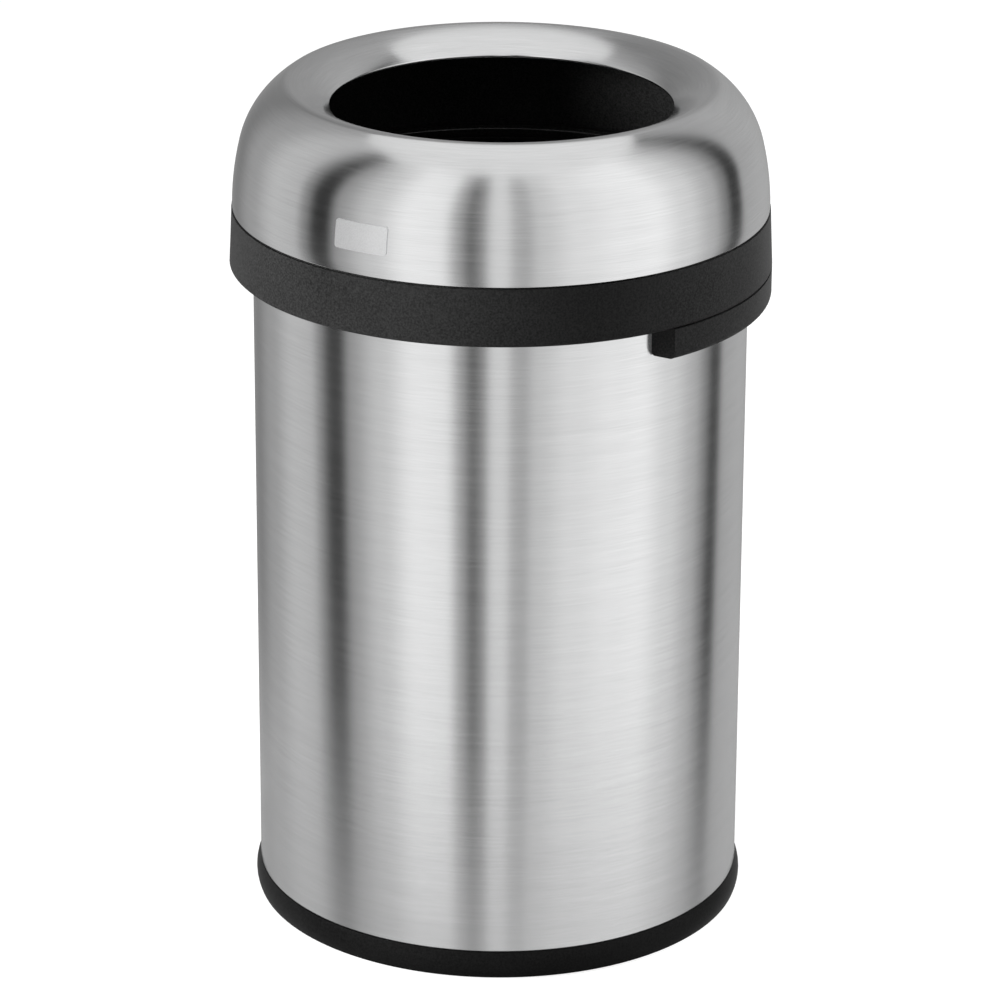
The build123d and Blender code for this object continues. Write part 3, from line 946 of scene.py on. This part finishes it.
@dataclass
class BagRing:
    """The drop-in ring that holds the bag."""

    outside: float = 184.6
    wall: float = 2.0
    ledge_top: float = 574.5
    depth: float = 25.0
    rise: float = 9.7
    seat_gap: float = 0.2
    flange_reach: float = 5.4
    flange_wall: float = 2.5
    lip_reach: float = 2.9

    def outline(self) -> np.ndarray:
        """Section of the ring: skirt, flange and rolled top lip."""
        inside, seat = self.outside - self.wall, self.ledge_top + self.seat_gap
        top, under_lip = self.ledge_top + self.rise, self.ledge_top + self.rise - self.wall
        return rounded([
            (inside, self.ledge_top - self.depth, 0.8),
            (self.outside, self.ledge_top - self.depth, 0.8),
            (self.outside, seat, 0.2),
            (self.outside + self.flange_reach, seat, 0.8),
            (self.outside + self.flange_reach, seat + self.flange_wall, 0.8),
            (self.outside, seat + self.flange_wall, 0.6),
            (self.outside, under_lip, 0.5),
            (self.outside + self.lip_reach, under_lip, 0.9),
            (self.outside + self.lip_reach, top, 0.9),
            (inside, top, 1.6),
        ], steps=5)

    def build(self, shop: Shop) -> None:
        """Makes the ring."""
        piece = turned("bag_holder_ring", self.outline(), 240)
        shop.enter(piece, "bag_holder", "inner_plastic", "ring_plastic", "bag_ring")


@dataclass
class Base:
    """Floor pan, base ring, feet, and the screws and nuts that hold them."""

    radius: float = 201.0
    pan_low: float = 23.8
    pan_wall: float = 1.2
    upturn: float = 8.0
    edge_gap: float = 2.2
    dish_rise: float = 3.0
    dish_share: float = 0.74
    screw_ring: float = 192.5
    screw_count: int = 4
    web_low: float = 19.9

    def pan_outline(self) -> np.ndarray:
        """Section of the pressed pan, from its lower pole round the edge to its upper pole."""
        edge, rise = self.radius - self.edge_gap, self.dish_rise
        dish = self.radius * self.dish_share
        low, wall = self.pan_low, self.pan_wall
        return np.array([
            (0.0, low + rise), (dish - 1.5, low + rise), (dish - 0.2, low + rise - 0.3),
            (dish + 5.0, low + 0.3), (dish + 6.4, low), (edge - 1.2, low), (edge - 0.3, low + 0.4),
            (edge, low + 1.3), (edge, low + wall + self.upturn - 0.3),
            (edge - 0.3, low + wall + self.upturn), (edge - wall + 0.3, low + wall + self.upturn),
            (edge - wall, low + wall + self.upturn - 0.3), (edge - wall, low + wall + 0.8),
            (edge - wall - 0.8, low + wall), (dish + 6.8, low + wall), (dish + 5.4, low + wall + 0.3),
            (dish + 0.4, low + wall + rise - 0.3), (dish - 1.0, low + wall + rise),
            (0.0, low + wall + rise),
        ])

    def build(self, shop: Shop) -> None:
        """Makes the pan and the screws, and dresses the rest."""
        pan = turned_disc("pressed_floor_pan", self.pan_outline())
        shop.enter(pan, "bin", "pan_steel", "pan_zinc", "floor_pan")
        places, _ = round_places(self.screw_ring, self.web_low, self.screw_count, 45.0)
        down = np.tile(np.array([[0.0, 0.0, -1.0]]), (self.screw_count, 1))
        screws = Fastener(2.0, 3.6, 2.2, 9.1).place("base_screw_set", places, down)
        shop.enter(screws, "bin", "fastener_steel", "zinc", "base_screws")
        shop.dress("base_ring", "base_plastic")
        shop.dress("base_nuts", "zinc")
        shop.dress("base_feet", "rubber")


@dataclass
class Rear:
    """The rear shroud, its screws, and the hinge's pin, plugs and washers."""

    inner_face: float = 200.1
    screw_height: float = 537.0
    screw_count: int = 6
    first_angle: float = -15.0
    span: float = 210.0

    def build(self, shop: Shop) -> None:
        """Makes the screws and dresses the rest."""
        places, outward = round_places(
            self.inner_face - SEAT_GAP, self.screw_height, self.screw_count, self.first_angle, self.span)
        screws = Fastener(1.6, 3.4, 1.9, 11.5).place("shroud_screw_set", places, -outward)
        shop.enter(screws, "bin", "fastener_steel", "zinc", "shroud_screws")
        shop.dress("rear_shroud", "shroud_plastic")
        shop.dress("hinge_pin", "zinc")
        shop.dress("hinge_caps", "shroud_plastic")
        shop.dress("hinge_washers", "ring_plastic")


@dataclass
class Dome:
    """The steel dome and the moulded liner inside it."""

    radius: float = 217.3
    seam: float = 597.3
    wall: float = 0.8
    bend: float = 1.2
    lean: float = 0.5
    radii: tuple[float, ...] = (225.8, 80.0, 10.0, 78.6)
    turns: tuple[float, ...] = (13.3, 42.9, 51.6, 25.6)
    bead: float = 1.6
    flange: float = 205.0
    liner_gap: float = 0.5
    liner_wall: float = 2.2
    liner_short: float = 2.2
    liner_foot: float = 204.0
    foot_wall: float = 2.5
    bead_sweep: float = 250.0
    boss_ring: float = 209.0
    boss_lift: float = 2.4
    boss_count: int = 6

    def arcs(self, inset: float, shorten: float = 0.0) -> np.ndarray:
        """The dome's line, moved inwards by inset.

        Each arc turns left about a centre that lies its radius to the left of the line's
        heading; moving inwards by inset takes that much off each radius.

        Args:
            inset: distance inside the outer face.
            shorten: degrees left off the last arc.

        Returns:
            (across, up) points from the bottom edge to the mouth.
        """
        point = np.array([self.radius - inset, self.seam + self.bend])
        heading = math.radians(90.0 + self.lean)
        turns = list(self.turns)
        turns[-1] -= shorten
        out = [point[None]]
        for radius, turn in zip(self.radii, turns):
            steps = max(6, int(turn / 2.2) + 1)
            size = radius - inset
            centre = point + size * np.array([-math.sin(heading), math.cos(heading)])
            angles = heading - math.pi / 2.0 + math.radians(turn) * np.linspace(0.0, 1.0, steps + 1)[1:]
            out.append(centre + size * np.stack([np.cos(angles), np.sin(angles)], axis=1))
            heading += math.radians(turn)
            point = out[-1][-1]
        return np.concatenate(out)

    def shell_outline(self) -> np.ndarray:
        """Section of the steel: flange, bend, dome line, round bead at the mouth, and back."""
        outer, inner = self.arcs(0.0), self.arcs(self.wall)
        quarter = np.linspace(-math.pi / 2.0, 0.0, 7)[:-1]
        turn = np.stack([np.cos(quarter), np.sin(quarter)], axis=1)
        bend_at = np.array([self.radius - self.bend, self.seam + self.bend])
        lower_bend = bend_at + self.bend * turn
        upper_bend = bend_at + (self.bend - self.wall) * turn
        heading = math.radians(90.0 + self.lean + sum(self.turns))
        left = np.array([-math.sin(heading), math.cos(heading)])
        centre = outer[-1] + left * self.bead
        start = math.atan2(*(outer[-1] - centre)[::-1])
        sweep = start + np.radians(np.linspace(0.0, self.bead_sweep, 22))[1:]
        bead = centre + self.bead * np.stack([np.cos(sweep), np.sin(sweep)], axis=1)
        start_flange = np.array([[self.flange, self.seam]])
        end_flange = np.array([[self.flange, self.seam + self.wall]])
        return np.concatenate([
            start_flange, lower_bend, outer, bead, inner[::-1][1:], upper_bend[::-1], end_flange,
        ])

    def liner_outline(self) -> np.ndarray:
        """Section of the liner: its dome line and the foot on the steel flange."""
        near = self.wall + self.liner_gap
        far = near + self.liner_wall
        outer = self.arcs(near, self.liner_short)
        inner = self.arcs(far, self.liner_short)
        low = self.seam + self.wall
        foot_in, foot_top = self.liner_foot, low + self.foot_wall
        edge = (outer[-1] + inner[-1]) / 2.0 + (outer[-1] - outer[-2]) * 0.25
        return np.concatenate([
            np.array([[foot_in, low], [self.radius - near, low]]), outer, edge[None], inner[::-1],
            np.array([[self.radius - far, foot_top + 0.6], [self.radius - far - 0.6, foot_top],
                      [foot_in + 0.4, foot_top], [foot_in, foot_top - 0.4]]),
        ])

    def build(self, shop: Shop) -> None:
        """Makes the dome, the liner and the liner's screw bosses."""
        shell = turned("steel_dome", self.shell_outline(), 320)
        shop.enter(shell, "lid", "dome_steel", "dome_steel", "dome_shell")
        liner = turned("dome_inner_shell", self.liner_outline(), 256)
        shop.enter(liner, "lid", "inner_plastic", "liner_plastic", "dome_liner")
        boss_low = self.seam + self.wall + self.boss_lift
        places, _ = round_places(self.boss_ring, boss_low, self.boss_count, 0.0)
        up = np.tile(np.array([[0.0, 0.0, 1.0]]), (self.boss_count, 1))
        bosses = Fastener(3.2, 4.5, 4.5, 0.2, Drive.PLAIN).place("liner_bosses", places, up)
        shop.enter(bosses, "lid", "inner_plastic", "liner_plastic", "dome_liner")


@dataclass
class LidRing:
    """The collar, the retaining ring with its screws and bumpers, and the badge plate."""

    inside: float = 198.0
    outside: float = 213.5
    top: float = 592.3
    plate: float = 2.5
    skirt_low: float = 586.3
    skirt_width: float = 4.8
    screw_ring: float = 209.0
    screw_count: int = 6

    def outline(self) -> np.ndarray:
        """Section of the retaining ring: a flat plate with a skirt at its inner edge."""
        return rounded([
            (self.inside, self.skirt_low, 0.8),
            (self.inside + self.skirt_width, self.skirt_low, 0.8),
            (self.inside + self.skirt_width, self.top - self.plate, 0.5),
            (self.outside, self.top - self.plate, 0.6),
            (self.outside, self.top, 0.6),
            (self.inside, self.top, 0.8),
        ], steps=4)

    def build(self, shop: Shop) -> None:
        """Makes the ring and its screws and dresses the rest."""
        ring = turned("retaining_ring", self.outline(), 240)
        shop.enter(ring, "lid", "inner_plastic", "ring_plastic", "lid_inner_ring")
        places, _ = round_places(self.screw_ring, self.top - self.plate, self.screw_count, 0.0)
        down = np.tile(np.array([[0.0, 0.0, -1.0]]), (self.screw_count, 1))
        screws = Fastener(2.0, 3.6, 2.2, 13.0).place("lid_screw_set", places, down)
        shop.enter(screws, "lid", "fastener_steel", "zinc", "lid_screws")
        shop.dress("lid_collar", "collar_plastic")
        shop.dress("lid_bumpers", "rubber")
        shop.dress("badge_plate", "badge_steel")


# The studio


@dataclass(frozen=True)
class Lamp:
    """A soft square lamp that reflections don't see.

    Attributes:
        name: its name.
        place: where it is, in metres.
        aim: the point that it faces, in metres.
        side: its side, in metres.
        power: its power in watts.
    """

    name: str
    place: tuple[float, float, float]
    aim: tuple[float, float, float]
    side: float
    power: float

    def build(self) -> None:
        """Makes the lamp and turns it so that its -Z points at the aim."""
        data = bpy.data.lights.new(self.name, "AREA")
        data.shape, data.size, data.energy = "SQUARE", self.side, self.power
        made = bpy.data.objects.new(self.name, data)
        bpy.context.scene.collection.objects.link(made)
        made.location = self.place
        made.rotation_mode = "QUATERNION"
        direction = Vector(self.aim) - Vector(self.place)
        made.rotation_quaternion = direction.to_track_quat("-Z", "Y")
        made.visible_glossy = False


@dataclass
class Studio:
    """Floor, light cards, lamps, world and camera."""

    camera_azimuth: float = 30.2
    camera_elevation: float = 21.25
    camera_distance: float = 4026.0
    camera_height: float = 338.3
    camera_roll: float = 0.298
    focal_pixels: float = 4865.3
    centre_x: float = 499.6
    centre_y: float = 501.0
    card_radius: float = 3000.0
    card_low: float = -3000.0
    card_high: float = 5000.0
    card_steps: int = 128
    ceiling_glow: float = 0.95
    floor_half: float = 9000.0
    floor_tone: float = 0.4
    floor_seen: float = 0.85
    floor_mirrored: float = 0.25
    floor_clear: float = 0.97
    clear_from: tuple[float, float] = (-0.3, 0.9)
    world_seen: float = 0.95
    world_light: float = 0.05
    lamps: tuple[Lamp, ...] = (
        Lamp("key_lamp", (-1.9, -2.4, 1.4), (0.0, 0.0, 0.35), 1.2, 135.0),
        Lamp("fill_lamp", (2.2, 2.4, 1.4), (0.0, 0.0, 0.35), 1.2, 110.0),
        Lamp("rear_lamp", (0.6, 3.0, 3.2), (0.0, 0.0, 0.4), 2.4, 30.0),
    )

    def strips(self) -> list[tuple[float, float]]:
        """Brightness of the light cards round the bin.

        Returns:
            (angle in degrees from the camera's side, brightness), from -180 to 180.
        """
        return [
            (-180, 0.34), (-150, 0.24), (-128, 0.42), (-107, 0.66), (-94, 0.62), (-88, 0.30),
            (-82, 0.03), (-76, 0.03), (-70, 0.42), (-54, 0.76), (-38, 1.15),
            (-24, 1.10), (-17, 0.45), (-12, 0.12), (-8, 0.30), (-3, 0.90), (2, 0.90),
            (6, 0.55), (10, 0.50), (16, 0.75), (32, 0.98), (52, 1.12), (66, 1.18),
            (82, 0.90), (98, 0.58), (106, 0.30), (112, 0.04), (117, 0.04), (122, 0.48),
            (140, 0.50), (180, 0.34),
        ]

    def glossy_only(self, piece: bpy.types.Object) -> None:
        """Lets only reflections see a card."""
        piece.visible_camera = False
        piece.visible_diffuse = False
        piece.visible_shadow = False
        piece.visible_transmission = False

    def cards(self) -> None:
        """A round wall of light cards and a ceiling, seen only in reflections.

        The wall's brightness is a colour ramp of the angle round the axis.
        """
        material = bpy.data.materials.new("light_cards")
        tree = Tree(material)
        x, y, z, _ = tree.position()
        facing = math.radians(self.camera_azimuth - 90.0)
        c, s = math.cos(facing), math.sin(facing)
        ahead, aside = x * c + y * s, y * c - x * s
        turn = aside.angle_from(ahead) / FULL_TURN + 0.5
        stops = [((angle + 180.0) / 360.0, value) for angle, value in self.strips()]
        ramp = tree.node("ShaderNodeValToRGB", {"stops": stops}, {0: turn})
        ramp.color_ramp.interpolation = "EASE"
        glow = tree.node("ShaderNodeEmission", None, {"Color": ramp.outputs[0], "Strength": 1.0})
        tree.surface(glow)
        count = self.card_steps
        angles = np.linspace(0.0, FULL_TURN, count, endpoint=False)
        rim = np.stack([np.cos(angles), np.sin(angles)], axis=1) * self.card_radius
        low = np.column_stack([rim, np.full(count, self.card_low)])
        high = np.column_stack([rim, np.full(count, self.card_high)])
        step, onward = np.arange(count), (np.arange(count) + 1) % count
        quads = np.stack([step, step + count, onward + count, onward], axis=1)
        wall = make_piece("light_card_wall", np.concatenate([low, high]), quads)
        wall.data.materials.append(material)
        self.glossy_only(wall)
        pale = bpy.data.materials.new("ceiling_card")
        tree = Tree(pale)
        tree.surface(tree.node(
            "ShaderNodeEmission", None, {"Color": (1, 1, 1, 1), "Strength": self.ceiling_glow}))
        ceiling = make_piece("ceiling_card", high, [list(range(count))[::-1]])
        ceiling.data.materials.append(pale)
        self.glossy_only(ceiling)

    def floor(self) -> None:
        """A wide pale floor: white to the camera, dim to reflections near the bin.

        To reflections it turns clear further out, so that they show the light cards below it.
        """
        half = self.floor_half
        corners = np.array([[-half, -half, 0.0], [half, -half, 0.0], [half, half, 0.0], [-half, half, 0.0]])
        piece = make_piece("studio_floor", corners, [[0, 1, 2, 3]])
        material = bpy.data.materials.new("pale_floor")
        tree = Tree(material)
        rays = tree.node("ShaderNodeLightPath")
        seen = (tree.sock(rays, "Is Camera Ray") + tree.sock(rays, "Is Transmission Ray")).held()
        glossy = tree.sock(rays, "Is Glossy Ray")
        matt = tree.node("ShaderNodeBsdfDiffuse", None, {"Color": (*grey(self.floor_tone), 1.0)})
        strength = seen * self.floor_seen + glossy * self.floor_mirrored
        glow = tree.node("ShaderNodeEmission", None, {"Color": (1, 1, 1, 1), "Strength": strength})
        plain = tree.node("ShaderNodeAddShader", None, {0: matt.outputs[0], 1: glow.outputs[0]})
        clear = tree.node("ShaderNodeBsdfTransparent")
        _, _, _, radius = tree.position()
        share = glossy * radius.ramp(*self.clear_from) * self.floor_clear
        tree.surface(tree.node(
            "ShaderNodeMixShader", None, {0: share, 1: plain.outputs[0], 2: clear.outputs[0]}))
        piece.data.materials.append(material)

    def world(self) -> None:
        """An even surround: white to the camera, faint as light and in reflections."""
        world = bpy.data.worlds.new("studio_world")
        bpy.context.scene.world = world
        tree = Tree(world)
        rays = tree.node("ShaderNodeLightPath")
        seen = (tree.sock(rays, "Is Camera Ray") + tree.sock(rays, "Is Transmission Ray")).held()
        strength = seen * self.world_seen + self.world_light
        glow = tree.node("ShaderNodeBackground", None, {"Color": (1, 1, 1, 1), "Strength": strength})
        tree.surface(glow, "ShaderNodeOutputWorld")

    def camera(self) -> None:
        """The camera: back from the aim point along the viewing direction, rolled a little."""
        data = bpy.data.cameras.new("photo_camera")
        made = bpy.data.objects.new("photo_camera", data)
        bpy.context.scene.collection.objects.link(made)
        a, e = math.radians(self.camera_azimuth), math.radians(self.camera_elevation)
        back = np.array([math.sin(a) * math.cos(e), -math.cos(a) * math.cos(e), math.sin(e)])
        place = back * self.camera_distance * MM + np.array([0.0, 0.0, self.camera_height * MM])
        right = np.array([math.cos(a), math.sin(a), 0.0])
        up = np.cross(back, right)
        roll = math.radians(self.camera_roll)
        turned_right = right * math.cos(roll) + up * math.sin(roll)
        turned_up = up * math.cos(roll) - right * math.sin(roll)
        matrix = np.eye(4)
        matrix[:3, 0], matrix[:3, 1], matrix[:3, 2], matrix[:3, 3] = turned_right, turned_up, back, place
        made.matrix_world = Matrix(matrix.tolist())
        data.sensor_width = SENSOR_WIDTH
        data.lens = self.focal_pixels * SENSOR_WIDTH / PHOTO_PIXELS
        data.shift_x = (PHOTO_PIXELS / 2.0 - self.centre_x) / PHOTO_PIXELS
        data.shift_y = (self.centre_y - PHOTO_PIXELS / 2.0) / PHOTO_PIXELS
        data.clip_start, data.clip_end = 0.1, 100.0
        bpy.context.scene.camera = made

    def build(self) -> None:
        """Sets up everything round the bin."""
        self.floor()
        self.cards()
        self.world()
        for lamp in self.lamps:
            lamp.build()
        self.camera()
        log.info("studio ready")


def finishes() -> dict[str, bpy.types.Material]:
    """Every finish by name."""
    made = [
        BrushedSteel("body_steel", tone=0.69, roughness=0.19, pull=0.88, seam=True),
        BrushedSteel("dome_steel", tone=0.7, roughness=0.19, pull=0.85),
        BrushedSteel("badge_steel", tone=0.9, roughness=0.5, pull=0.0, brushing=Brushing.NONE),
        MouldedPlastic("collar_plastic", tone=0.03, roughness=0.42),
        MouldedPlastic("shroud_plastic", tone=0.03, roughness=0.42),
        MouldedPlastic("base_plastic", tone=0.009, roughness=0.4),
        MouldedPlastic("liner_plastic", tone=0.03, roughness=0.62, depth=0.2),
        MouldedPlastic("rim_plastic", tone=0.010, roughness=0.45),
        MouldedPlastic("ring_plastic", tone=0.014, roughness=0.5),
        Rubber("rubber"),
        ZincSteel("zinc"),
        ZincSteel("pan_zinc", tone=0.42, roughness=0.46),
    ]
    return {finish.name: finish.build() for finish in made}


def main() -> None:
    logging.basicConfig(level=logging.INFO, format="%(name)s: %(message)s")
    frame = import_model()
    view = bpy.context.scene.view_settings
    view.view_transform = "Standard"
    studio = Studio()
    studio.build()
    shop = Shop(frame, finishes())
    for assembly in (SteelBody(), Rim(), BagRing(), Base(), Rear(), Dome(), LidRing()):
        log.info("building %s", type(assembly).__name__)
        assembly.build(shop)


if __name__ == "__main__":
    main()
